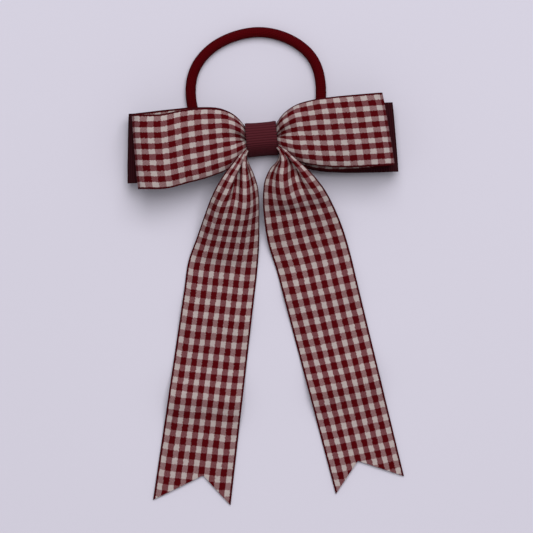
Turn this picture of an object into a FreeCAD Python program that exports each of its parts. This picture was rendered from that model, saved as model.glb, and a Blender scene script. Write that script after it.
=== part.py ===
import FreeCAD, Part
import Sketcher
import math
import os
import re

# A ribbon hair bow lying on its back: +X along the loops, +Y towards the elastic, +Z out of the
# front. The origin is the middle of the flat back of the centre wrap. All sizes are millimetres.

SIZES = {
    "ribbon_width": 25.0,
    "ribbon_thick": 0.5,
    "gap": 0.2,
    "snug": 0.05,
    # the centre wrap and what it holds, from the back to the front
    "wrap_width": 10.8,
    "wrap_tall": 11.0,
    "wrap_thick": 0.5,
    "wrap_corner": 2.5,
    "elastic_diameter": 3.5,
    "core_diameter": 2.0,
    "splice_length": 4.0,
    "elastic_drop": 1.0,
    "thread_diameter": 0.4,
    "thread_turns": 5,
    "backing_stack": 1.6,
    "front_stack": 2.6,
    "glue_film": 0.4,
    "tail_stack": 1.8,
    "crown_inset": 0.8,
    "peek": 0.5,
    "seam_bead": 1.2,
    # the loops, from the wrap outwards
    "root_gap": 1.6,
    "front_reach": 42.8,
    "front_fold_rise": 4.3,
    "front_fold_radius": 4.5,
    "backing_reach": 45.2,
    "backing_fold_rise": -0.3,
    "backing_fold_radius": 1.6,
    "backing_turn": -2.3,
    "shoulder_reach": 9.5,
    "shoulder_half": 9.2,
    "hem_shoulder_reach": 12.5,
    "hem_shoulder_half": 7.6,
    "gather_half": 4.6,
    "flare_reach": 19.0,
    "hem_flare_reach": 22.0,
    # the tails, measured along each tail from the level of the wrap's lower edge
    "tail_level": 5.0,
    "tail_parting": 1.6,
    "tail_gap": 2.2,
    "tail_start": 14.5,
    "tail_top_half": 3.4,
    "tail_top_lift": 3.7,
    "tail_flare": 32.0,
    "tail_knee": 46.0,
    "knee_gap": 0.8,
    "left_tail_length": 121.0,
    "right_tail_length": 118.5,
    "notch_depth": 9.5,
    "left_tail_turn": 13.0,
    "right_tail_turn": 9.5,
    # the pleated necks that carry the tails from the knot over the loops
    "neck_thick": 1.0,
    "neck_top": 1.5,
    "neck_lift": 2.0,
    "neck_step": 0.4,
    "neck_root_clear": 0.9,
    "neck_root_width": 2.0,
    "neck_end_half": 4.2,
    "neck_clear": 2.4,
}

# The elastic's route seen from the front, chosen by hand, from one end of the splice to the other.
ELASTIC_ROUTE = [
    (11.0, -1.0), (19.6, 5.2), (21.9, 15.6), (20.5, 25.6), (14.0, 32.6), (4.6, 36.6),
    (-4.8, 36.4), (-14.2, 33.0), (-21.0, 26.2), (-23.2, 16.9), (-21.3, 7.0), (-12.5, -1.0),
]
RUN_SHARE = 0.45

SIDES = {"left": -1, "right": 1}

# Places that follow from the sizes, written as spreadsheet formulas.
ELASTIC_RISE = "(wrap_thick + gap + elastic_diameter / 2)"
THREAD_LOW = "(wrap_thick + 2 * gap + elastic_diameter)"
BACKING_LOW = f"({THREAD_LOW} + thread_diameter + snug)"
FRONT_LOW = f"({BACKING_LOW} + backing_stack + snug)"
GLUE_LOW = f"({FRONT_LOW} + front_stack)"
TAIL_LOW = f"({GLUE_LOW} + glue_film)"
THREAD_TOP = f"({TAIL_LOW} + tail_stack + snug + thread_diameter)"
WRAP_DEPTH = f"({THREAD_TOP} + gap + wrap_thick)"
BUNDLE_HALF = "(wrap_tall / 2 - wrap_thick - thread_diameter - 2 * snug)"
BUNDLE_LONG = "(wrap_width + 2 * peek)"
BACKING_MIDDLE = f"({BACKING_LOW} + backing_stack / 2)"
FRONT_MIDDLE = f"({FRONT_LOW} + front_stack / 2)"
TAIL_TOP_LOW = f"({TAIL_LOW} + tail_top_lift)"
ROOT_REACH = "(wrap_width / 2 + root_gap + front_stack / 2)"

doc = FreeCAD.newDocument("hair_bow")
sheet = doc.addObject("Spreadsheet::Sheet", "sizes")
for row, (word, value) in enumerate(SIZES.items(), start=1):
    sheet.set(f"A{row}", word)
    sheet.set(f"B{row}", str(value))
    sheet.setAlias(f"B{row}", word)
doc.recompute()

nodes = []


def size(word):
    """The number that the sheet holds under this word."""
    return float(sheet.get(word))


def bound(formula):
    """A formula with each of the sheet's words written as a reference to the sheet."""
    return re.sub(r"[a-z]+(?:_[a-z]+)+|snug|gap|peek", lambda found: "sizes." + found.group(0), formula)


def bind(thing, place, formula):
    thing.setExpression(place, bound(formula))


def new_body(label):
    body = doc.addObject("PartDesign::Body", label)
    body.Label = label
    nodes.append(body)
    return body


def new_sketch(body, plane):
    """A sketch on one of the body's own origin planes."""
    sketch = body.newObject("Sketcher::SketchObject", body.Name + "_sketch")
    origin_plane = [part for part in body.Origin.OriginFeatures if part.Role == plane][0]
    sketch.AttachmentSupport = [(origin_plane, "")]
    sketch.MapMode = "FlatFace"
    return sketch


def hold(sketch, constraint, formula):
    """Add one constraint and tie its value to the sheet."""
    index = sketch.addConstraint(constraint)
    name = f"held_{index}"
    sketch.renameConstraint(index, name)
    bind(sketch, "Constraints." + name, formula)


def place_point(sketch, edge, end, rough, formulas):
    """Hold one end of an edge, or an arc's centre, at a place given by two formulas."""
    hold(sketch, Sketcher.Constraint("DistanceX", -1, 1, edge, end, rough.x), formulas[0])
    hold(sketch, Sketcher.Constraint("DistanceY", -1, 1, edge, end, rough.y), formulas[1])


def polygon(sketch, corners):
    """A closed outline of straight sides. Each corner is a pair of formulas."""
    count = len(corners)
    turns = [2 * math.pi * (k + 0.3) / count for k in range(count)]
    rough = [FreeCAD.Vector(20 * math.cos(turn), 20 * math.sin(turn), 0) for turn in turns]
    sides = []
    for k in range(count):
        sides.append(sketch.addGeometry(Part.LineSegment(rough[k], rough[(k + 1) % count]), False))
    for k in range(count):
        sketch.addConstraint(Sketcher.Constraint("Coincident", sides[k], 2, sides[(k + 1) % count], 1))
    for k in range(count):
        place_point(sketch, sides[k], 1, rough[k], corners[k])


def rectangle(sketch, low_x, high_x, low_y, high_y):
    polygon(sketch, [(low_x, low_y), (high_x, low_y), (high_x, high_y), (low_x, high_y)])


def pad(body, sketch, length, symmetric=True):
    feature = body.newObject("PartDesign::Pad", body.Name + "_pad")
    feature.Profile = sketch
    feature.SideType = "Symmetric" if symmetric else "One side"
    bind(feature, "Length", length)
    doc.recompute()
    return feature


def pocket(body, sketch):
    """Cut the sketch's outlines right through the body, and see that something went."""
    before = body.Shape.Volume
    feature = body.newObject("PartDesign::Pocket", body.Name + "_pocket")
    feature.Profile = sketch
    feature.SideType = "Symmetric"
    feature.Type = "ThroughAll"
    doc.recompute()
    assert body.Shape.Volume < before - 0.01, f"{body.Label}: the pocket cut nothing"
    return feature


def round_long_edges(body, radius, chosen):
    """Fillet the chosen edges among those that run along X."""
    base = body.Tip
    names = []
    for number, edge in enumerate(base.Shape.Edges, start=1):
        ends = [vertex.Point for vertex in edge.Vertexes]
        along_x = len(ends) == 2 and abs(ends[1].y - ends[0].y) + abs(ends[1].z - ends[0].z) < 1e-6
        if along_x and chosen(ends[0]):
            names.append(f"Edge{number}")
    feature = body.newObject("PartDesign::Fillet", body.Name + "_fillet")
    feature.Base = (base, names)
    bind(feature, "Radius", radius)
    doc.recompute()


def turn_about_z(thing, degrees_formula):
    thing.Placement = FreeCAD.Placement(FreeCAD.Vector(), FreeCAD.Rotation(FreeCAD.Vector(0, 0, 1), 10))
    bind(thing, "Placement.Rotation.Angle", degrees_formula)


def centre_wrap():
    """The band around the knot, open at its two sides where the loops and the elastic leave."""
    body = new_body("centre_wrap")
    outer = new_sketch(body, "YZ_Plane")
    rectangle(outer, "-wrap_tall / 2", "wrap_tall / 2", "0", WRAP_DEPTH)
    pad(body, outer, "wrap_width")
    half = size("wrap_tall") / 2
    hole = new_sketch(body, "YZ_Plane")
    rectangle(hole, "wrap_thick - wrap_tall / 2", "wrap_tall / 2 - wrap_thick",
              "wrap_thick", f"{WRAP_DEPTH} - wrap_thick")
    pocket(body, hole)

    def outer_corner(point):
        return abs(abs(point.y) - half) < 1e-6

    round_long_edges(body, "wrap_corner - wrap_thick", lambda point: not outer_corner(point))
    round_long_edges(body, "wrap_corner", outer_corner)


def bundle_bar(label, low, high, half=BUNDLE_HALF):
    """One gathered ribbon where it passes through the wrap: a flat bar with rounded edges."""
    body = new_body(label)
    section = new_sketch(body, "YZ_Plane")
    rectangle(section, f"-{half}", half, low, high)
    pad(body, section, BUNDLE_LONG)
    round_long_edges(body, f"({high} - {low}) * 0.4", lambda point: True)


def gathering_thread():
    """The turns of thread that tie the gathered ribbons, wound side by side."""
    body = new_body("gathering_thread")
    section = new_sketch(body, "YZ_Plane")
    inside = f"({BUNDLE_HALF} + snug)"
    rectangle(section, f"-{inside} - thread_diameter", f"{inside} + thread_diameter", THREAD_LOW, THREAD_TOP)
    rectangle(section, f"-{inside}", inside, f"{THREAD_LOW} + thread_diameter",
              f"{THREAD_TOP} - thread_diameter")
    pad(body, section, "thread_turns * thread_diameter")
    half = body.Shape.BoundBox.YMax

    def outer_corner(point):
        return abs(abs(point.y) - half) < 1e-6

    corner = "wrap_corner - wrap_thick"
    round_long_edges(body, f"{corner} - thread_diameter", lambda point: not outer_corner(point))
    round_long_edges(body, corner, outer_corner)


def glue_pieces():
    """The film of glue between the loops and the tails, and the bead that closes the wrap."""
    film = doc.addObject("Part::Box", "knot_glue")
    bind(film, "Length", "wrap_width * 0.8")
    bind(film, "Width", f"{BUNDLE_HALF} * 1.6")
    bind(film, "Height", "glue_film")
    bind(film, "Placement.Base.x", "-wrap_width * 0.4")
    bind(film, "Placement.Base.y", f"-{BUNDLE_HALF} * 0.8")
    bind(film, "Placement.Base.z", GLUE_LOW)
    nodes.append(film)
    bead = doc.addObject("Part::Cylinder", "wrap_seam_glue")
    bead.Placement.Rotation = FreeCAD.Rotation(FreeCAD.Vector(0, 1, 0), 90)
    bind(bead, "Radius", "seam_bead / 2")
    bind(bead, "Height", "wrap_width * 0.8")
    bind(bead, "Placement.Base.x", "-wrap_width * 0.4")
    bind(bead, "Placement.Base.y", "wrap_thick + seam_bead / 2 + gap - wrap_tall / 2")
    bind(bead, "Placement.Base.z", "wrap_corner")
    nodes.append(bead)


def loop_outline(sketch, middle, fold_reach, fold_rise, root_radius, fold_radius, inset):
    """Two round ends joined by straight sides: drawn roughly, then settled by its constraints."""
    up = FreeCAD.Vector(0, 0, 1)
    root_circle = Part.Circle(FreeCAD.Vector(8, 7, 0), up, 1)
    fold_circle = Part.Circle(FreeCAD.Vector(40, 8, 0), up, 2)
    root = sketch.addGeometry(Part.ArcOfCircle(root_circle, math.pi / 2, 3 * math.pi / 2), False)
    fold = sketch.addGeometry(Part.ArcOfCircle(fold_circle, -math.pi / 2, math.pi / 2), False)
    under = sketch.addGeometry(Part.LineSegment(FreeCAD.Vector(8, 6, 0), FreeCAD.Vector(40, 6, 0)), False)
    over = sketch.addGeometry(Part.LineSegment(FreeCAD.Vector(40, 10, 0), FreeCAD.Vector(8, 8, 0)), False)
    for one, its_end, other, other_end in (
        (root, 2, under, 1), (under, 2, fold, 1), (fold, 2, over, 1), (over, 2, root, 1),
    ):
        sketch.addConstraint(Sketcher.Constraint("Tangent", one, its_end, other, other_end))
    place_point(sketch, root, 3, root_circle.Center, (ROOT_REACH, middle))
    fold_place = (f"{fold_reach} - {fold_radius}", f"{middle} + {fold_rise}")
    place_point(sketch, fold, 3, fold_circle.Center, fold_place)
    hold(sketch, Sketcher.Constraint("Radius", root, 1.0), f"{root_radius} - {inset}")
    hold(sketch, Sketcher.Constraint("Radius", fold, 2.0), f"{fold_radius} - {inset}")


def ribbon_loop(side, layer, middle, root_radius, turn):
    """A hollow loop of ribbon, its root gathered to the knot's height."""
    body = new_body(f"{side}_{layer}_loop")
    profile = new_sketch(body, "XZ_Plane")
    for inset in ("0", "ribbon_thick"):
        loop_outline(profile, middle, f"{layer}_reach", f"{layer}_fold_rise", root_radius,
                     f"{layer}_fold_radius", inset)
    pad(body, profile, "ribbon_width")
    gathers = new_sketch(body, "XY_Plane")
    inner = "wrap_width / 2"
    edge = "(ribbon_width / 2 + 1)"
    upper = SIDES[side]
    for sign, reach, shoulder, half in (
        (upper, "flare_reach", "shoulder_reach", "shoulder_half"),
        (-upper, "hem_flare_reach", "hem_shoulder_reach", "hem_shoulder_half"),
    ):
        polygon(gathers, [
            (inner, f"{sign} * {edge}"),
            (inner, f"{sign} * gather_half"),
            (shoulder, f"{sign} * {half}"),
            (reach, f"{sign} * ribbon_width / 2"),
            (reach, f"{sign} * {edge}"),
        ])
    pocket(body, gathers)
    half_turn = 0 if side == "right" else 180
    turn_about_z(body, f"{half_turn} + {turn}")


def tail_root_x(side):
    """Where a tail's middle line crosses the level of the wrap's lower edge."""
    turn = f"{side}_tail_turn"
    inner_edge = f"(tail_gap / 2 - {SIDES[side]} * tail_parting)"
    return f"({inner_edge} + ribbon_width / 2 / cos({turn}) - tail_flare * sin({turn}))"


def stand_tail(body, side):
    """Turn a tail piece about its middle line's start and set it beside the knot."""
    turn_about_z(body, f"{SIDES[side]} * {side}_tail_turn")
    bind(body, "Placement.Base.x", f"{SIDES[side]} * {tail_root_x(side)}")
    bind(body, "Placement.Base.y", "-tail_level")


def tail_upper(side):
    """The sloping stretch of a tail, from its neck down to where it meets the surface."""
    body = new_body(f"{side}_tail_upper")
    profile = new_sketch(body, "YZ_Plane")
    polygon(profile, [
        ("-tail_start", TAIL_TOP_LOW),
        ("-tail_start", f"{TAIL_TOP_LOW} + ribbon_thick"),
        ("-tail_knee", "ribbon_thick + snug"),
        ("-tail_knee", "snug"),
    ])
    pad(body, profile, "ribbon_width")
    taper = new_sketch(body, "XY_Plane")
    for sign in (-1, 1):
        polygon(taper, [
            (f"{sign} * tail_top_half", "1 - tail_start"),
            (f"{sign} * tail_top_half", "-tail_start"),
            (f"{sign} * ribbon_width / 2", "-tail_flare"),
            (f"{sign} * (ribbon_width / 2 + 1)", "-tail_flare"),
            (f"{sign} * (ribbon_width / 2 + 1)", "1 - tail_start"),
        ])
    pocket(body, taper)
    stand_tail(body, side)


def tail_end(side):
    """The flat stretch of a tail, with its swallow-tail cut."""
    body = new_body(f"{side}_tail_end")
    outline = new_sketch(body, "XY_Plane")
    long = f"{side}_tail_length"
    polygon(outline, [
        ("-ribbon_width / 2", "-tail_knee - knee_gap"),
        ("-ribbon_width / 2", f"-{long}"),
        ("0", f"notch_depth - {long}"),
        ("ribbon_width / 2", f"-{long}"),
        ("ribbon_width / 2", "-tail_knee - knee_gap"),
    ])
    pad(body, outline, "ribbon_thick", symmetric=False)
    stand_tail(body, side)
    bind(body, "Placement.Base.z", "snug")


def tail_neck(side):
    """The pleated stretch between the knot and a tail: a tapered bar that rises over the loops."""
    neck = doc.addObject("Part::Wedge", f"{side}_tail_neck")
    sign = SIDES[side]
    turn = f"{side}_tail_turn"
    end_middle = f"{sign} * ({tail_root_x(side)} + (tail_start - neck_clear) * sin({turn}))"
    root_low = "(wrap_width / 2 + neck_root_clear)"
    root_high = "(wrap_width / 2 + neck_root_clear + neck_root_width)"
    root = (root_low, root_high) if sign > 0 else (f"-{root_high}", f"-{root_low}")
    bind(neck, "Xmin", f"{end_middle} - neck_end_half")
    bind(neck, "Xmax", f"{end_middle} + neck_end_half")
    bind(neck, "Zmin", f"{TAIL_TOP_LOW} + neck_step")
    bind(neck, "Zmax", f"{TAIL_TOP_LOW} + neck_step + neck_thick")
    bind(neck, "Ymin", "neck_clear - tail_start - tail_level")
    bind(neck, "Ymax", "-neck_top")
    bind(neck, "X2min", root[0])
    bind(neck, "X2max", root[1])
    bind(neck, "Z2min", f"{TAIL_LOW} + neck_lift")
    bind(neck, "Z2max", f"{TAIL_LOW} + neck_lift + neck_thick")
    nodes.append(neck)


def rounded_path(points):
    """Straight runs joined by tangent arcs, each as large as its two runs allow."""
    edges = []
    start = points[0]
    for before, corner, after in zip(points, points[1:], points[2:]):
        back, ahead = before - corner, after - corner
        half_turn = (math.pi - back.getAngle(ahead)) / 2
        cut = RUN_SHARE * min(back.Length, ahead.Length)
        radius = cut / math.tan(half_turn)
        back.normalize()
        ahead.normalize()
        arc_start, arc_end = corner + back * cut, corner + ahead * cut
        towards = (back + ahead).normalize()
        middle = corner + towards * (radius / math.cos(half_turn) - radius)
        edges.append(Part.LineSegment(start, arc_start).toShape())
        edges.append(Part.Arc(arc_start, middle, arc_end).toShape())
        print(f"elastic bend at ({corner.x:.1f}, {corner.y:.1f}): radius {radius:.1f} mm")
        start = arc_end
    edges.append(Part.LineSegment(start, points[-1]).toShape())
    return Part.Wire(edges)


def elastic():
    """A hair elastic: a knitted cover around a rubber core, its ends joined by a glued splice."""
    drop = -size("elastic_drop")
    lying = size("elastic_diameter") / 2 + size("snug")
    in_wrap = size("wrap_thick") + size("gap") + size("elastic_diameter") / 2
    half_splice = size("splice_length") / 2
    rises = [in_wrap] + [lying] * (len(ELASTIC_ROUTE) - 2) + [in_wrap]
    points = [FreeCAD.Vector(half_splice, drop, in_wrap)]
    points += [FreeCAD.Vector(x, y, z) for (x, y), z in zip(ELASTIC_ROUTE, rises)]
    points.append(FreeCAD.Vector(-half_splice, drop, in_wrap))
    route = doc.addObject("Part::Feature", "elastic_route")
    route.Shape = rounded_path(points)
    spine = (route, [f"Edge{n}" for n in range(1, len(route.Shape.Edges) + 1)])
    swept = {}
    for name, radius in (
        ("cover_outside", "elastic_diameter / 2"),
        ("cover_inside", "core_diameter / 2 + snug"),
        ("elastic_core", "core_diameter / 2"),
    ):
        ring = doc.addObject("Part::Circle", name + "_ring")
        ring.Placement = FreeCAD.Placement(points[0], FreeCAD.Rotation(FreeCAD.Vector(0, 1, 0), 90))
        bind(ring, "Radius", radius)
        swept[name] = doc.addObject("Part::Sweep", name)
        swept[name].Sections = [ring]
        swept[name].Spine = spine
        swept[name].Solid = True
    cover = doc.addObject("Part::Cut", "elastic_cover")
    cover.Base = swept["cover_outside"]
    cover.Tool = swept["cover_inside"]
    nodes.extend([cover, swept["elastic_core"]])
    splice = doc.addObject("Part::Cylinder", "elastic_splice")
    splice.Placement.Rotation = FreeCAD.Rotation(FreeCAD.Vector(0, 1, 0), 90)
    bind(splice, "Radius", "elastic_diameter / 2")
    bind(splice, "Height", "splice_length")
    bind(splice, "Placement.Base.x", "-splice_length / 2")
    bind(splice, "Placement.Base.y", "-elastic_drop")
    bind(splice, "Placement.Base.z", ELASTIC_RISE)
    nodes.append(splice)
    doc.recompute()
    long = route.Shape.Length
    outside = math.pi * (size("elastic_diameter") / 2) ** 2 * long
    print(f"elastic: {long:.1f} mm long, {swept['cover_outside'].Shape.Volume:.1f} mm3 swept, "
          f"{outside:.1f} mm3 as section times length")


centre_wrap()
crown_half = f"({BUNDLE_HALF} - crown_inset)"
bundle_bar("backing_ribbon_centre", BACKING_LOW, f"({BACKING_LOW} + backing_stack)", crown_half)
bundle_bar("front_ribbon_centre", FRONT_LOW, f"({FRONT_LOW} + front_stack)")
bundle_bar("tail_ribbon_centre", TAIL_LOW, f"({TAIL_LOW} + tail_stack)", crown_half)
gathering_thread()
glue_pieces()
for side in SIDES:
    ribbon_loop(side, "backing", BACKING_MIDDLE, "backing_stack / 2", "backing_turn")
    ribbon_loop(side, "front", FRONT_MIDDLE, "(front_stack / 2 - gap)", "0")
    tail_neck(side)
    tail_upper(side)
    tail_end(side)
elastic()
doc.recompute()

faults = [thing.Label for thing in doc.Objects if {"Invalid", "Error"} & set(thing.State)]
for node in nodes:
    if node.Shape.isNull() or not node.Shape.isValid() or not node.Shape.Solids:
        faults.append(node.Label)
assert not faults, f"these did not build: {faults}"

os.makedirs("parts", exist_ok=True)
for node in nodes:
    node.Shape.exportStep(f"parts/{node.Label}.step")
    box = node.Shape.BoundBox
    print(f"{node.Label}: {len(node.Shape.Solids)} solid, {node.Shape.Volume:.1f} mm3, "
          f"x {box.XMin:.1f} to {box.XMax:.1f}, y {box.YMin:.1f} to {box.YMax:.1f}, "
          f"z {box.ZMin:.2f} to {box.ZMax:.2f}")
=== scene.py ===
# %% [markdown]
# # A checked hair bow on an elastic
# A hair bow is ribbon and very little else. Two loops of checked ribbon lie over two loops of plain
# ribbed ribbon, two checked tails hang from the same knot, a narrow band wraps the pinched middle,
# and a round elastic runs through the band to hold a ponytail. The engineers' model says where each
# part sits and how it moves. This lesson lays real cloth over that model.

# %% Load the engineers' model
import math

import bpy
import numpy as np
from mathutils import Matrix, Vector


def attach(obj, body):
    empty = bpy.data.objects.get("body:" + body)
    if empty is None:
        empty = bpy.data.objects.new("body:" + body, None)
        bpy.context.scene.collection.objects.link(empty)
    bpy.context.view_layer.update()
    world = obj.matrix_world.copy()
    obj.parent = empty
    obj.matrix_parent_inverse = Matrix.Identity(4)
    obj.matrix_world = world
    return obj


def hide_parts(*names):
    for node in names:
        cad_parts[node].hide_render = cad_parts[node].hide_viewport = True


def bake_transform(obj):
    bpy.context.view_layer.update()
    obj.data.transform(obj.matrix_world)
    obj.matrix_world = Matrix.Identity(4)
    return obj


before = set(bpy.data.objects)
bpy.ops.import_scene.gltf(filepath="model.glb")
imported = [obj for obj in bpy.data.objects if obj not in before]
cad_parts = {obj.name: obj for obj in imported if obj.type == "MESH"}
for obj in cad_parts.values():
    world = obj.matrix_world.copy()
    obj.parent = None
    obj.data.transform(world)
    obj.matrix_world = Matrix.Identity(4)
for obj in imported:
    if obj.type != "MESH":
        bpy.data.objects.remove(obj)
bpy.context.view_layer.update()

MM = 0.001

# %% [markdown]
# ## The camera
# The bow lies on a table and is looked at from straight above. A long lens from far away keeps the
# raised loops from growing larger than the flat tails. The bow lies turned a little to the left, so
# the camera turns instead, and the model stays square to its own axes.

# %% Place the camera
SENSOR = 36.0
VIEW_WIDTH = 180.7 * MM
VIEW_CENTRE = Vector((-1.97, -42.9, 0)) * MM
CAMERA_HEIGHT = 2500 * MM
BOW_TURN = math.radians(4.8)

bpy.ops.object.camera_add(location=VIEW_CENTRE + Vector((0, 0, CAMERA_HEIGHT)), rotation=(0, 0, -BOW_TURN))
camera = bpy.context.object
camera.name = "overhead_camera"
camera.data.sensor_width = SENSOR
camera.data.lens = SENSOR * CAMERA_HEIGHT / VIEW_WIDTH
camera.data.clip_end = 10
bpy.context.scene.camera = camera
print("lens", round(camera.data.lens), "mm")

# %% [markdown]
# ## The elastic
# The elastic is a round cord, a rubber core in a knitted cover. It leaves the band on one side, goes
# round where the ponytail will be, and comes back on the other side. A spline through a few control
# points gives it one smooth line. A tube is then rolled round that line from a flat grid, because a
# grid brings flat coordinates with it, and the knitting can follow those along the cord.

# %% Draw the elastic's line
ELASTIC_ROUTE = [
    (2, -1, 2.45), (11, -1, 2.45), (19.6, 5.2, 1.8), (21.9, 15.6, 1.8), (20.5, 25.6, 1.8),
    (14, 32.6, 1.8), (4.6, 36.6, 1.8), (-4.8, 36.4, 1.8), (-14.2, 33, 1.8), (-21, 26.2, 1.8),
    (-23.2, 16.9, 1.8), (-21.3, 7, 1.8), (-12.5, -1, 2.45), (-2, -1, 2.45),
]
ELASTIC_DIAMETER = 3.5


def line_through(controls, samples_per_span):
    """Points along the smooth spline that has these control points, all in millimetres."""
    curve = bpy.data.curves.new("guide_line", "CURVE")
    curve.dimensions = "3D"
    curve.resolution_u = samples_per_span
    spline = curve.splines.new("NURBS")
    spline.points.add(len(controls) - 1)
    for point, control in zip(spline.points, controls):
        point.co = (*control, 1)
    spline.order_u = 3
    spline.use_endpoint_u = True
    guide = bpy.data.objects.new("guide_line", curve)
    mesh = bpy.data.meshes.new_from_object(guide)
    points = np.array([vertex.co[:] for vertex in mesh.vertices])
    bpy.data.objects.remove(guide)
    bpy.data.curves.remove(curve)
    bpy.data.meshes.remove(mesh)
    return points


elastic_line = line_through(ELASTIC_ROUTE, 12)
print("elastic line", round(np.linalg.norm(np.diff(elastic_line, axis=0), axis=1).sum(), 1), "mm")

# %% [markdown]
# ## Cutting and shaping cloth
# Every soft piece here starts as a flat grid, as ribbon does before it is folded. Each corner of the
# grid is then carried to its place on the finished bow. The flat coordinates stay with it in
# millimetres, so a woven check keeps its real size however the ribbon turns.

# %% Shape a flat grid into cloth
def lay_cloth(name, places, across, along, thickness=0.0, closed=False):
    """A grid whose rows of corners go to places, with flat coordinates across and along. Millimetres."""
    rows, columns = places.shape[:2]
    bpy.ops.object.select_all(action="DESELECT")
    bpy.ops.mesh.primitive_grid_add(x_subdivisions=columns - 1, y_subdivisions=rows - 1, size=1)
    piece = bpy.context.object
    piece.name = piece.data.name = name
    piece.data.vertices.foreach_set("co", (places * MM).ravel())
    flat = np.stack([np.broadcast_to(across, (rows, columns)), along], axis=2).reshape(-1, 2)
    corners = np.zeros(len(piece.data.loops), dtype=int)
    piece.data.loops.foreach_get("vertex_index", corners)
    piece.data.uv_layers[0].name = "cloth"
    piece.data.uv_layers[0].data.foreach_set("uv", flat[corners].ravel())
    if closed:
        bpy.ops.object.mode_set(mode="EDIT")
        bpy.ops.mesh.select_all(action="SELECT")
        bpy.ops.mesh.remove_doubles(threshold=0.01 * MM)
        bpy.ops.mesh.normals_make_consistent(inside=False)
        bpy.ops.object.mode_set(mode="OBJECT")
    if thickness:
        bpy.ops.object.modifier_add(type="SOLIDIFY")
        piece.modifiers[-1].thickness = thickness * MM
        piece.modifiers[-1].offset = 0
        bpy.ops.object.modifier_apply(modifier=piece.modifiers[-1].name)
    bpy.ops.object.shade_smooth_by_angle(angle=math.radians(60))
    print(name, "has", len(piece.data.polygons), "faces")
    return piece


def distances(places, level_row):
    """How far along its own thread each corner lies from the level row."""
    gaps = np.linalg.norm(np.diff(places, axis=0), axis=2)
    along = np.concatenate([np.zeros((1, places.shape[1])), np.cumsum(gaps, axis=0)])
    return along - along[level_row]


# %% Roll a grid into a cord
ROUND_STEPS = 20


def roll_cord(name, line, diameter, round_steps=ROUND_STEPS):
    """A round cord along the line, with its girth and its run as flat coordinates."""
    turns = np.linspace(0, 2 * math.pi, round_steps + 1)
    heading = np.gradient(line, axis=0)
    heading /= np.linalg.norm(heading, axis=1)[:, None]
    sideways = np.cross(heading, line.mean(axis=0) - line)
    sideways /= np.linalg.norm(sideways, axis=1)[:, None]
    inwards = np.cross(sideways, heading)
    ring = sideways[:, None] * np.cos(turns)[:, None] + inwards[:, None] * np.sin(turns)[:, None]
    places = line[:, None] + ring * diameter / 2
    run = np.concatenate([[0], np.cumsum(np.linalg.norm(np.diff(line, axis=0), axis=1))])
    return lay_cloth(name, places, turns * diameter / 2, run[:, None] + 0 * turns, closed=True)


elastic = roll_cord("elastic_cord", elastic_line, ELASTIC_DIAMETER)
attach(elastic, "hair_elastic")
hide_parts("elastic_cover")

# %% [markdown]
# ## How a gathered ribbon folds
# Pinching a ribbon doesn't make it narrower. The cloth has to go somewhere, so beside the knot it
# drops into one deep valley between two crests, and further out it only bows up like a roof tile.
# Here the ribbon's slope swings across its width, as a mix of those two shapes, and the swing is made
# just large enough to take up half of the gathering. The other half is fine creases between threads,
# too small to model, which narrow all the stripes alike. Where the ribbon is pinched hardest the folds
# are also made lower than the cloth asks for, so that they fit beside the band.

# %% Fold a cross-section
RIBBON_WIDTH = 25.0
RIBBON_THICK = 0.35
COLUMNS = 78
STEEPEST = 1.55
SLACK = 0.94
share = (np.arange(COLUMNS) + 0.5) / COLUMNS


def folded(gap, valley, pleat, puff, hidden=0.5, depth=1.6):
    """Steps across a ribbon squeezed into the gap, as shares of it, and heights above the edges."""
    warped = share ** (math.log(0.5) / math.log(valley))
    inner = 0.5 + 0.5 * min(gap / RIBBON_WIDTH, 1) ** 2
    creased = np.sin(4 * math.pi * warped) * (1 - inner * np.cos(2 * math.pi * warped))
    bowed = 1 - 2 * share
    swing = math.copysign(1, pleat) * (abs(pleat) * creased + (1 - abs(pleat)) * bowed)
    crown = puff * (1 - 2 * share) ** 3
    low, high = 0.0, STEEPEST
    in_folds = min(gap / (RIBBON_WIDTH * SLACK), 1) ** (1 - hidden)
    for _ in range(24):
        middle = (low + high) / 2
        narrow = np.cos(middle * swing + crown).mean() < in_folds
        low, high = (low, middle) if narrow else (middle, high)
    slope = low * swing + crown
    squeeze = min(max(depth * gap / RIBBON_WIDTH, 0.3), 1)
    reach = np.concatenate([[0], np.cumsum(np.cos(slope))])
    height = np.concatenate([[0], np.cumsum(np.sin(slope))]) * RIBBON_WIDTH / COLUMNS * squeeze
    return reach / reach[-1], height - np.linspace(0, height[-1], COLUMNS + 1)


# %% [markdown]
# ## Running a ribbon through its stations
# A ribbon is described by a few stations along it. Each one says where its two edges are, how much of
# the gathering is pleat rather than bow, and how far the edges roll down. A smooth path joins the
# stations, and the folds are worked out at every row between them.

# %% Join stations with a smooth path
def smooth_path(stations, step):
    """Rows of numbers on a smooth curve through the stations, about a step apart."""
    stations = np.array(stations, dtype=float)
    gaps = np.linalg.norm(np.diff(stations[:, :6], axis=0), axis=1) / math.sqrt(2)
    marks = np.concatenate([[0], np.cumsum(gaps)])
    slopes = np.gradient(stations, marks, axis=0)
    rows = []
    for place in np.linspace(0, marks[-1], round(marks[-1] / step) + 1):
        here = min(int(np.searchsorted(marks, place, side="right")) - 1, len(gaps) - 1)
        t = (place - marks[here]) / gaps[here]
        ease = t * t * (3 - 2 * t)
        rows.append((1 - ease) * stations[here] + ease * stations[here + 1]
                    + gaps[here] * t * (1 - t) * ((1 - t) * slopes[here] - t * slopes[here + 1]))
    return np.array(rows)


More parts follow.
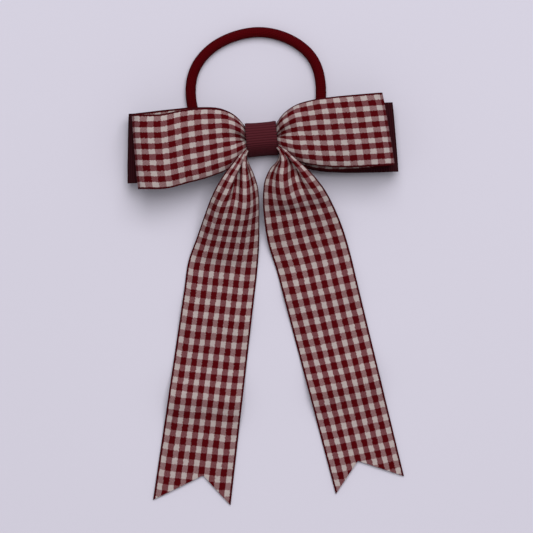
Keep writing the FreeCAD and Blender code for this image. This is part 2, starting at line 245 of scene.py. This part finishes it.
def ribbon_places(stations, valley, step=1.0, hidden=0.5, depth=1.6):
    """Corners of a ribbon that runs through the stations. Its face is up where it starts."""
    rows = smooth_path(stations, step)
    near, far = rows[:, 0:3], rows[:, 3:6]
    travel = np.gradient((near + far) / 2, axis=0)
    places = []
    for edge, other, onward, (pleat, puff) in zip(near, far, travel, rows[:, 6:8]):
        chord = other - edge
        reach, height = folded(np.linalg.norm(chord), valley, min(max(pleat, -1), 1), puff,
                               hidden, depth)
        up = np.cross(chord, onward)
        up /= np.linalg.norm(up)
        places.append(edge + reach[:, None] * chord + height[:, None] * up)
    return np.array(places)


# %% [markdown]
# ## The loops
# Each loop leaves the knot pinched, opens like a fan, turns over at its outer fold, and comes back
# underneath. The edges open fast near the band and then run almost level, which is the curve of an
# exponential. Pleats point up on both layers, so that they nest in the knot. The back layer's face
# is down, which is why its pleats change sign past the fold.

# %% Describe one loop's stations
WRAP_SIDE = 5.4
DIP_REACH, DIP_LENGTH = 34.0, 7.0


def opened(reach, at_fold, at_wrap, rounding):
    """How far an edge lies from the middle line, at this distance from the knot."""
    return at_fold + (at_wrap - at_fold) * math.exp((WRAP_SIDE - reach) / rounding)


def loop_stations(side, profile, top, bottom, slant, turn=0.0, back_shift=0.0, dip=0.0):
    """Stations from the knot to the fold and back, as (reach, height, pleat, puff) rows say."""
    fold = max(row[0] for row in profile)
    cosine, sine = math.cos(turn), math.sin(turn)
    stations = []
    for number, (reach, height, pleat, puff) in enumerate(profile):
        returning = number > len(profile) / 2
        edges = []
        for level in (opened(reach, *top), opened(reach, *bottom)):
            y = level + back_shift * returning * math.sin(math.pi * reach / fold)
            y -= dip * (not returning) * math.exp(-((reach - DIP_REACH) / DIP_LENGTH) ** 2)
            x = side * (reach + slant * side * y * (reach / fold) ** 2)
            edges.append((x * cosine - y * sine, x * sine + y * cosine, height))
        if side < 0:
            edges.reverse()
        stations.append((*edges[0], *edges[1], pleat, puff))
    return stations


# %% Lay the four loops
FRONT_PROFILE = [
    (5.1, 8.1, 1, 0.0), (5.6, 8.6, 1, 0.1), (8, 10.2, 0.8, 0.4), (12, 11.0, 0.5, 0.7),
    (18, 11.8, 0.2, 0.8), (26, 13.0, 0.1, 0.7), (34, 14.8, 0.1, 0.4), (38.3, 15.6, 0.1, 0.2),
    (41.6, 14.6, 0.1, 0.1), (42.8, 12.1, 0, 0.05), (41.6, 9.4, -0.1, 0.05), (38.3, 8.3, -0.1, 0.05),
    (30, 7.9, -0.1, 0.05), (20, 7.4, -0.2, 0.05), (12, 6.8, -0.6, 0.05), (8, 6.2, -0.9, 0.05),
    (5.6, 5.8, -1, 0), (5.1, 5.8, -1, 0),
]
BACKING_PROFILE = [
    (5.1, 5.1, 1, 0.0), (5.6, 5.2, 1, 0.0), (9, 5.8, 0.9, 0.05), (16, 6.2, 0.4, 0.05),
    (26, 6.4, 0.2, 0.05), (36, 6.5, 0.1, 0.05), (43.4, 6.6, 0.1, 0.05), (45.2, 5.2, 0, 0.05),
    (43.4, 3.8, -0.1, 0.05), (36, 3.8, -0.1, 0.05), (26, 3.8, -0.2, 0.05), (16, 3.9, -0.4, 0.05),
    (9, 4.1, -0.9, 0.05), (5.6, 4.2, -1, 0), (5.1, 4.2, -1, 0),
]
LOOPS = {
    "left": {"side": -1, "top": (12.3, 4.8, 4.2), "bottom": (-13.2, -4.8, 9.5), "slant": 0.0,
             "back_shift": 0.6, "valley": 0.53, "backing_slant": 0.06, "dip": 1.1},
    "right": {"side": 1, "top": (12.3, 4.8, 5.0), "bottom": (-12.6, -4.7, 10), "slant": -0.086,
              "back_shift": -1.3, "valley": 0.42, "backing_slant": -0.04, "dip": 0.0},
}
BACKING_TURN = math.radians(-2.3)
HINGE_BEND = 2.5
LOOP_DEPTH = 1.0
across = np.linspace(0, RIBBON_WIDTH, COLUMNS + 1)
checked, ribbed = [], []
for hand, look in LOOPS.items():
    stations = loop_stations(look["side"], FRONT_PROFILE, look["top"], look["bottom"], look["slant"],
                             back_shift=look["back_shift"], dip=look["dip"])
    places = ribbon_places(stations, look["valley"], depth=LOOP_DEPTH)
    fold_row = int(np.argmax(np.abs(places[:, COLUMNS // 2, 0])))
    along = distances(places, fold_row)
    front = lay_cloth(f"{hand}_checked_loop", places, across, along, RIBBON_THICK)
    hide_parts(f"{hand}_front_loop")
    span = Vector((look["side"] * HINGE_BEND * MM, 0, 0))
    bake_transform(front)
    checked.append(front)

    stations = loop_stations(look["side"], BACKING_PROFILE, (10.7, 4.6, 6), (-12.9, -4.8, 8),
                             look["backing_slant"], turn=BACKING_TURN)
    places = ribbon_places(stations, 0.5, depth=LOOP_DEPTH)
    along = distances(places, int(np.argmax(np.abs(places[:, COLUMNS // 2, 0]))))
    backing = lay_cloth(f"{hand}_ribbed_loop", places, across, along, RIBBON_THICK)
    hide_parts(f"{hand}_backing_loop")
    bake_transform(backing)
    ribbed.append(backing)

# %% [markdown]
# ## The tails
# The tails come out of the band beside the loops, pinched into one deep pleat, drape over the loops'
# lower edges and reach the table about a third of the way down. From there they lie almost flat and
# end in a swallowtail cut. A tail bends at two joints, and a cloth piece can follow only one, so each
# tail is two pieces that meet edge to edge with their threads in line.

# %% Describe the tails' stations
# Each row is one edge, the other edge, pleat and puff. The face is up, so the left tail has its
# inner edge first and the right tail its outer edge.
LEFT_DRAPE = [
    (-3.8, -3.2, 7.0, -3.8, -0.8, 9.0, 1, 0), (-5.6, -4.0, 7.4, -5.8, -1.6, 10.2, 1, 0),
    (-5.6, -6.0, 8.0, -8.2, -4.6, 12.0, 1, 0.1), (-4.8, -8.4, 8.6, -10.4, -7.2, 13.2, 1, 0.1),
    (-3.8, -11.2, 8.8, -13.0, -10.0, 13.8, 0.9, 0.1), (-2.8, -15.4, 9.4, -15.8, -13.6, 13.2, 0.7, 0.1),
    (-2.7, -20.5, 8.4, -18.6, -18.3, 10.4, 0.35, 0.15), (-3.2, -27.0, 5.4, -21.5, -24.4, 6.4, 0.12, 0.2),
    (-3.9, -35.0, 2.2, -24.7, -31.4, 2.6, 0.05, 0.2), (-5.2, -44.0, 0.6, -28.2, -39.0, 0.8, 0, 0.15),
]
RIGHT_DRAPE = [
    (3.8, -0.6, 9.0, 3.8, -3.2, 7.0, 1, 0), (5.8, -1.4, 10.2, 5.6, -4.0, 7.4, 1, 0),
    (8.4, -4.4, 12.0, 5.5, -6.0, 8.0, 1, 0.1), (11.0, -7.4, 13.2, 4.4, -8.0, 8.6, 1, 0.1),
    (13.8, -10.4, 13.8, 2.2, -10.0, 8.8, 0.9, 0.1), (16.3, -13.4, 13.2, 0.1, -13.6, 9.4, 0.7, 0.1),
    (19.6, -18.4, 10.4, -1.1, -19.4, 8.4, 0.35, 0.15), (22.5, -24.8, 6.4, -1.4, -27.0, 5.4, 0.12, 0.2),
    (24.9, -32.4, 2.6, -0.7, -35.6, 2.2, 0.05, 0.2), (26.6, -40.4, 0.8, 1.3, -44.4, 0.6, 0, 0.15),
]
TAILS = {
    "left": {"drape": LEFT_DRAPE, "inner_tip": (-20.9, -122.5), "outer_tip": (-46.9, -118.5),
             "notch": (0.4, 9.5), "valley": 0.56, "waves": ((91, 3.4), (64, 1.0)), "inner_first": True},
    "right": {"drape": RIGHT_DRAPE, "inner_tip": (15.0, -121.7), "outer_tip": (38.5, -117.6),
              "notch": (0.58, 9.0), "valley": 0.36, "waves": ((90, 2.2), (58, 0.8)), "inner_first": False},
}
LYING = 0.55
WAVE_LENGTH = 6.5


def tail_places(look):
    """Corners of a whole tail, from inside the band to its cut end."""
    drape = look["drape"]
    inner, outer = (*look["inner_tip"], LYING), (*look["outer_tip"], LYING)
    first, second = (inner, outer) if look["inner_first"] else (outer, inner)
    knee = np.array(drape[-1], dtype=float)
    tip = np.array((*first, *second, 0, 0.12))
    flat = [knee + (tip - knee) * part for part in (0.12, 0.3, 0.5, 0.75, 1)]
    for station in flat:
        station[[2, 5]] = LYING
    places = ribbon_places([*drape, *flat], look["valley"])
    end = places[-1]
    across_share = np.linspace(0, 1, COLUMNS + 1)
    notch_share, notch_depth = look["notch"]
    cut = notch_depth * np.interp(across_share, (0, notch_share, 1), (0, 1, 0))
    run = distances(places, 0)
    kept = (run[-1] - cut) / run[-1]
    shortened = np.empty_like(places)
    for column in range(COLUMNS + 1):
        wanted = run[:, column] * (1 - (1 - kept[column]) * (run[:, column] / run[-1, column]) ** 6)
        for axis in range(3):
            shortened[:, column, axis] = np.interp(wanted, run[:, column], places[:, column, axis])
    middle = distances(shortened, 0)[:, COLUMNS // 2]
    for place, height in look["waves"]:
        shortened[:, :, 2] += height * np.exp(-((middle - place) / WAVE_LENGTH) ** 2)[:, None]
    return shortened


# %% Lay the two tails
SEAM_AT = 34.0
for hand, look in TAILS.items():
    places = tail_places(look)
    middle = distances(places, 0)[:, COLUMNS // 2]
    seam_row = int(np.argmin(np.abs(middle - SEAM_AT)))
    along = distances(places, seam_row)
    parts = {"drape": slice(0, seam_row + 1), "swallowtail": slice(seam_row, None)}
    side = Vector((look["outer_tip"][0] - look["inner_tip"][0], 0, 0)).normalized()
    down = Vector(places[-1, COLUMNS // 2] - places[seam_row, COLUMNS // 2]).normalized()
    for part, rows in parts.items():
        piece = lay_cloth(f"{hand}_tail_{part}", places[rows], across, along[rows], RIBBON_THICK)
        if part == "drape":
            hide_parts(f"{hand}_tail_neck", f"{hand}_tail_upper")
        else:
            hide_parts(f"{hand}_tail_end")
        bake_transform(piece)
        "gathered" if part == "drape" else "laid"
        checked.append(piece)

# %% [markdown]
# ## The middle of the knot
# Under the band each ribbon carries on, pleated, from one side to the other. Only slivers of it can
# be seen at the band's two sides, but without them the loops would be hollow there.

# %% Lay the pleats under the band
MIDDLES = {"backing_ribbon_centre": (4.5, 0.5), "front_ribbon_centre": (5.4, 0.47),
           "tail_ribbon_centre": (6.1, 0.5)}
MIDDLE_REACH, MIDDLE_TOP, MIDDLE_BOTTOM, MIDDLE_DEPTH = 5.03, 4.6, -4.0, 2.0
for node, (height, valley) in MIDDLES.items():
    stations = [(x, MIDDLE_TOP, height, x, MIDDLE_BOTTOM, height, 1, 0)
                for x in (-MIDDLE_REACH, 0, MIDDLE_REACH)]
    places = ribbon_places(stations, valley, hidden=0, depth=MIDDLE_DEPTH)
    along = distances(places, len(places) // 2)
    piece = lay_cloth(node.replace("_ribbon_centre", "_pleats"), places, across, along, RIBBON_THICK)
    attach(piece, "knot")
    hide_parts(node)
    (ribbed if node.startswith("backing") else checked).append(piece)

# %% Spread the glue film that holds the tails to the loops
GLUE_HALF_LENGTH, GLUE_TOP, GLUE_BOTTOM, GLUE_LEVEL, GLUE_THICK = 4.3, 3.4, -2.2, 9.3, 0.4
glue_x, glue_y = np.meshgrid(np.linspace(-1, 1, 25), np.linspace(GLUE_BOTTOM, GLUE_TOP, 17))
glue_edge = GLUE_HALF_LENGTH * (1 - 0.06 * (1 + np.sin(glue_y * 3)))
glue_places = np.stack([glue_x * glue_edge, glue_y, np.full_like(glue_x, GLUE_LEVEL)], axis=2)
glue = lay_cloth("glue_film", glue_places, glue_x[0] * GLUE_HALF_LENGTH, glue_y, GLUE_THICK)
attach(glue, "knot")
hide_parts("knot_glue")

# %% Wind the gathering thread
THREAD_DIAMETER = 0.4
THREAD_TURNS = 5
THREAD_SECTION = [(3.9, 4.8), (4.4, 8), (2.6, 10.8), (-1.6, 10.8), (-4.1, 8), (-4.3, 4.8), (0, 3.9)]
windings = len(THREAD_SECTION) * THREAD_TURNS
thread_route = [((number / windings - 0.5) * THREAD_TURNS * THREAD_DIAMETER, *THREAD_SECTION[number % 7])
                for number in range(windings + 1)]
thread = roll_cord("gathering_stitches", line_through(thread_route, 4), THREAD_DIAMETER, 8)
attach(thread, "knot")
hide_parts("gathering_thread")

# %% [markdown]
# ## The band round the knot
# The band is narrow ribbed ribbon pulled tight round the pleats and glued at the back. Its ribs are
# thick threads that run across it, so they are modelled, and the material is left the fine weave and
# a painted shade in the grooves between the ribs. Pulling makes its middle sink and its two edges flare.

# %% Wrap the band
BAND_WIDTH = 10.5
BAND_THICK = 0.5
RIB_PITCH = 0.85
RIB_HEIGHT = 0.24
SELVEDGE = 0.75
FLARE = 0.35
BAND_SECTION = [
    (0, 0.65), (4.2, 0.7), (5.2, 2.4), (5.2, 6.5), (5.3, 9.6), (4.9, 11.6), (2.8, 12.2),
    (0.6, 12.1), (-1.5, 11.4), (-3.3, 8.9), (-4.8, 5.6), (-5.2, 2.2), (-4.2, 0.7), (0, 0.65),
]
band_line = line_through([(0, y, z) for y, z in BAND_SECTION], 24)
band_steps = np.concatenate([[0], np.cumsum(np.linalg.norm(np.diff(band_line, axis=0), axis=1))])
ribs = round(band_steps[-1] / RIB_PITCH)
band_rows = np.linspace(0, band_steps[-1], ribs * 8 + 1)
centre = np.stack([np.interp(band_rows, band_steps, band_line[:, axis]) for axis in range(3)], axis=1)
outward = np.cross(np.gradient(centre, axis=0), (1, 0, 0))
outward /= np.linalg.norm(outward, axis=1)[:, None]
outward[-1] = outward[0]
if outward[len(outward) // 4] @ (centre[len(centre) // 4] - centre.mean(axis=0)) < 0:
    outward = -outward
band_across = np.linspace(-BAND_WIDTH / 2, BAND_WIDTH / 2, 33)
rib_phase = 2 * math.pi * band_rows / band_steps[-1] * ribs
edge_share = np.clip((BAND_WIDTH / 2 - np.abs(band_across)) / SELVEDGE, 0, 1)
lift = RIB_HEIGHT * np.abs(np.sin(rib_phase / 2))[:, None] * edge_share
lift = lift + FLARE * (2 * np.abs(band_across) / BAND_WIDTH) ** 4
band_places = centre[:, None] + outward[:, None] * lift[:, :, None]
band_places[:, :, 0] += band_across
band_along = band_rows[:, None] + np.zeros(len(band_across))
band = lay_cloth("knot_band", band_places, band_across + BAND_WIDTH / 2, band_along, BAND_THICK,
                 closed=True)
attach(band, "knot")
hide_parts("centre_wrap")

# %% [markdown]
# ## Painting with sums
# A material's pattern is arithmetic on the cloth's flat coordinates. The class below lets that
# arithmetic be written as ordinary sums, and each sum adds its own node to the material.

# %% Write shader maths as sums
class Wire:
    """One socket's value, which Python's operators can work with."""

    def __init__(self, paint, socket):
        self.paint, self.socket = paint, socket

    def maths(self, operation, *others):
        return self.paint.node("ShaderNodeMath", {"operation": operation}, *others)

    def __add__(self, other):
        return self.maths("ADD", self, other)

    def __sub__(self, other):
        return self.maths("SUBTRACT", self, other)

    def __rsub__(self, other):
        return self.maths("SUBTRACT", other, self)

    def __mul__(self, other):
        return self.maths("MULTIPLY", self, other)

    def __truediv__(self, other):
        return self.maths("DIVIDE", self, other)

    __radd__, __rmul__ = __add__, __mul__

    def sin(self):
        return self.maths("SINE", self)

    def size(self):
        return self.maths("ABSOLUTE", self)

    def most(self, other):
        return self.maths("MAXIMUM", self, other)

    def least(self, other):
        return self.maths("MINIMUM", self, other)

    def between_0_and_1(self):
        return self.most(0.0).least(1.0)

    def onto(self, low, high):
        """Goes smoothly from 0 to 1 as the value goes from low to high."""
        settings = {"interpolation_type": "SMOOTHSTEP"}
        return self.paint.node("ShaderNodeMapRange", settings, self, low, high, 0.0, 1.0)


class Paint:
    """A new material with its shader, and one method that adds any other node."""

    def __init__(self, name, roughness, gloss=0.3):
        self.material = bpy.data.materials.new(name)
        self.material.use_nodes = True
        self.nodes = self.material.node_tree.nodes
        self.links = self.material.node_tree.links
        self.shader = self.nodes["Principled BSDF"]
        self.shader.inputs["Roughness"].default_value = roughness
        self.shader.inputs["Specular IOR Level"].default_value = gloss

    def node(self, kind, settings, *values, output=0, **named):
        """Adds a node, with its settings first, then its inputs by place or by name."""
        made = self.nodes.new(kind)
        for setting, value in settings.items():
            setattr(made, setting, value)
        for key, value in [*enumerate(values), *named.items()]:
            if isinstance(value, Wire):
                self.links.new(value.socket, made.inputs[key])
            else:
                made.inputs[key].default_value = value
        return Wire(self, made.outputs[output])

    def flat_coordinates(self):
        """Across and along the cloth in millimetres, from the piece's own map."""
        cloth = self.node("ShaderNodeUVMap", {"uv_map": "cloth"})
        split = self.node("ShaderNodeSeparateXYZ", {}, cloth)
        return split, Wire(self, split.socket.node.outputs["Y"])

    def mix(self, amount, first, second):
        """A colour that goes from the first to the second as the amount goes from 0 to 1."""
        blend = self.node("ShaderNodeMix", {"data_type": "RGBA"}, amount, output="Result")
        sockets = [socket for socket in blend.socket.node.inputs if socket.type == "RGBA"]
        for socket, value in zip(sockets, (first, second)):
            if isinstance(value, Wire):
                self.links.new(value.socket, socket)
            else:
                socket.default_value = value
        return Wire(self, next(s for s in blend.socket.node.outputs if s.type == "RGBA"))

    def noise(self, scale):
        """Soft random blotches, this many to the metre."""
        place = self.node("ShaderNodeTexCoord", {}, output="Object")
        return self.node("ShaderNodeTexNoise", {}, Vector=place, Scale=scale)

    def finish(self, colour, height=None, depth=0.0):
        """Joins the pattern to the shader, with the height as a bump of this depth in metres."""
        self.links.new(colour.socket, self.shader.inputs["Base Color"])
        if height is not None:
            bump = self.node("ShaderNodeBump", {}, Strength=1.0, Distance=depth, Height=height)
            self.links.new(bump.socket, self.shader.inputs["Normal"])
        return self.material


def colour(red, green, blue):
    """A display colour, 0 to 255, as the linear values that a shader works with."""
    shares = [channel / 255 for channel in (red, green, blue)]
    return (*(s / 12.92 if s <= 0.04045 else ((s + 0.055) / 1.055) ** 2.4 for s in shares), 1.0)


def wear(material, *pieces):
    for piece in pieces:
        piece.data.materials.clear()
        piece.data.materials.append(material)


# %% [markdown]
# ## The checked ribbon
# Gingham has dark and light threads in both directions. Seven light and six dark stripes run along
# the ribbon between two dark woven edges, and painted shade darkens those edges further to a near-black
# red.

# %% Paint the gingham
STRIPE = 1.831
CHECK = 2.33
WOVEN_EDGE = 0.6
THREAD = 0.46
DARK_RED = colour(76, 1, 6)
ROSE = colour(112, 52, 60)
OFF_WHITE = colour(178, 165, 163)
# Painted shade: a near-black red laid over the woven edges, darker than their own dark thread.
PAINTED_EDGE_SHADE = colour(42, 3, 7)

gingham = Paint("gingham_weave_with_edge_shade", roughness=0.9, gloss=0.06)
u, v = gingham.flat_coordinates()
stray = (gingham.noise(2200.0) - 0.5) * 0.8
stripe = ((u + stray - WOVEN_EDGE) * (math.pi / STRIPE)).sin() * -1
check = ((v - stray) * (math.pi / CHECK)).sin() * -1
woven_edge_and_shade = 1 - (u.least(RIBBON_WIDTH - u) / WOVEN_EDGE).onto(0.85, 1.1)
lengthwise_dark = stripe.onto(-0.24, 0.0).most(woven_edge_and_shade)
crosswise_dark = check.onto(-0.2, 0.0)
thread_u = (u * (2 * math.pi / THREAD)).sin()
thread_v = (v * (2 * math.pi / THREAD)).sin()
on_top = 0.6 + thread_u * thread_v * 0.4
darkness = lengthwise_dark * on_top + crosswise_dark * (1 - on_top)
darkness = darkness.most(woven_edge_and_shade * 0.95)
blotch = gingham.noise(900.0)
lower = gingham.mix((darkness * 2).between_0_and_1(), OFF_WHITE, ROSE)
shade = gingham.mix((darkness * 2 - 1).between_0_and_1(), lower, DARK_RED)
shade = gingham.mix((blotch - 0.5) * 0.25 + 0.06, shade, colour(60, 10, 14))
# Painted shade: the woven edges are darkened further towards the near-black red.
shade = gingham.mix(woven_edge_and_shade * 0.6, shade, PAINTED_EDGE_SHADE)
weave_height = thread_u * thread_v * 0.5 + blotch * 0.6
checked_finish = gingham.finish(shade, weave_height, 0.05 * MM)
wear(checked_finish, *checked)

# %% [markdown]
# ## The ribbed ribbons
# Grosgrain has thick cross threads under fine lengthwise ones. On the wide ribbon at the back the
# ribs are drawn by the bump. On the band they are already modelled, so its paint adds the fine
# lengthwise threads and paints shade into the grooves, nearly black between the ribs.

# %% Paint the grosgrain
backing_paint = Paint("backing_grosgrain_weave", roughness=0.7, gloss=0.06)
u, v = backing_paint.flat_coordinates()
rib = (v * (2 * math.pi / RIB_PITCH)).sin()
fine = (u * (2 * math.pi / 0.25)).sin()
rib_shade = backing_paint.mix(rib * 0.3 + 0.4, colour(36, 5, 10), colour(58, 14, 22))
wear(backing_paint.finish(rib_shade, rib * 0.8 + fine * 0.15, 0.12 * MM), *ribbed)

band_paint = Paint("band_grosgrain_weave_and_groove_shade", roughness=0.65, gloss=0.08)
u, v = band_paint.flat_coordinates()
painted_groove_shade = (v * (math.pi * ribs / band_steps[-1])).sin().size()
fine = (u * (2 * math.pi / 0.22)).sin()
# Painted shade: the grooves between the modelled ribs are painted nearly black.
band_shade = band_paint.mix(painted_groove_shade.onto(0.15, 0.85), colour(8, 1, 2), colour(77, 26, 34))
wear(band_paint.finish(band_shade, fine * 0.4 + band_paint.noise(1500.0), 0.04 * MM), band)

# %% [markdown]
# ## The knitted elastic
# The cover is knitted from fine yarn. Its stitches run along the cord in slightly twisted rows.

# %% Paint the elastic
elastic_paint = Paint("knitted_cover", roughness=0.8, gloss=0.03)
u, v = elastic_paint.flat_coordinates()
rows_along = (u * (2 * math.pi / 0.55) + v * 1.2).sin()
stitches = (v * (2 * math.pi / 0.7) + rows_along * 1.3).sin()
knit = rows_along * 0.6 + stitches * 0.4
knit_shade = elastic_paint.mix((knit * 0.5 + 0.5).between_0_and_1(), colour(54, 1, 4), colour(86, 2, 8))
wear(elastic_paint.finish(knit_shade, knit, 0.08 * MM), elastic)

# %% [markdown]
# ## The hidden parts
# The thread, the glue, the rubber core and its splice are inside the knot. They keep the engineers'
# shapes and get simple finishes, so that they look right if the bow is taken apart.

# %% Paint the hidden parts
HIDDEN = {
    "hot_glue": (colour(214, 206, 190), 0.35, 700.0), "sewing_thread": (colour(70, 10, 16), 0.7, 4000.0),
    "elastic_rubber": (colour(196, 184, 168), 0.6, 1500.0),
    "elastic_splice": (colour(48, 8, 12), 0.5, 1500.0),
}
finishes = {}
for name, (base, roughness, grain) in HIDDEN.items():
    paint = Paint(f"{name}_finish", roughness)
    speck = paint.noise(grain)
    darker = tuple(channel * 0.7 for channel in base[:3]) + (1.0,)
    finishes[name] = paint.finish(paint.mix(speck, darker, base), speck, 0.03 * MM)
DRESSED = {"wrap_seam_glue": "hot_glue", "elastic_core": "elastic_rubber",
           "elastic_splice": "elastic_splice"}
for node, finish in DRESSED.items():
    for material_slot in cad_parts[node].material_slots:
        material_slot.material = finishes[finish]
wear(finishes["sewing_thread"], thread)
wear(finishes["hot_glue"], glue)
for node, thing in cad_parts.items():
    if node not in DRESSED:
        cloth_finish = backing_paint.material if "backing" in node else checked_finish
        for material_slot in thing.material_slots:
            material_slot.material = cloth_finish

# %% [markdown]
# ## The table and the light
# The bow lies on a plain pale table. One broad lamp stands beyond the elastic, so the shadows fall
# softly towards the tails, and a pale sky fills them in.

# %% Set the table and the lamps
bpy.ops.object.select_all(action="DESELECT")
bpy.ops.mesh.primitive_plane_add(size=4)
table_top = bpy.context.object
table_top.name = table_top.data.name = "table_top"
table_paint = Paint("pale_table", roughness=0.9, gloss=0.1)
tint = table_paint.mix(table_paint.noise(3.0), colour(206, 202, 216), colour(208, 204, 218))
wear(table_paint.finish(tint), table_top)

LAMP_PLACE = Vector((0.25, 0.75, 1.75))
bpy.ops.object.light_add(type="AREA", location=LAMP_PLACE)
lamp = bpy.context.object
lamp.name = "window_lamp"
lamp.data.shape = "SQUARE"
lamp.data.size = 1.5
lamp.data.energy = 33
lamp.rotation_euler = (-LAMP_PLACE).to_track_quat("-Z", "Y").to_euler()

world = bpy.data.worlds.new("pale_room")
bpy.context.scene.world = world
world.use_nodes = True
world.node_tree.nodes["Background"].inputs["Color"].default_value = (1, 1, 1, 1)
world.node_tree.nodes["Background"].inputs["Strength"].default_value = 0.38
bpy.context.scene.view_settings.view_transform = "Standard"
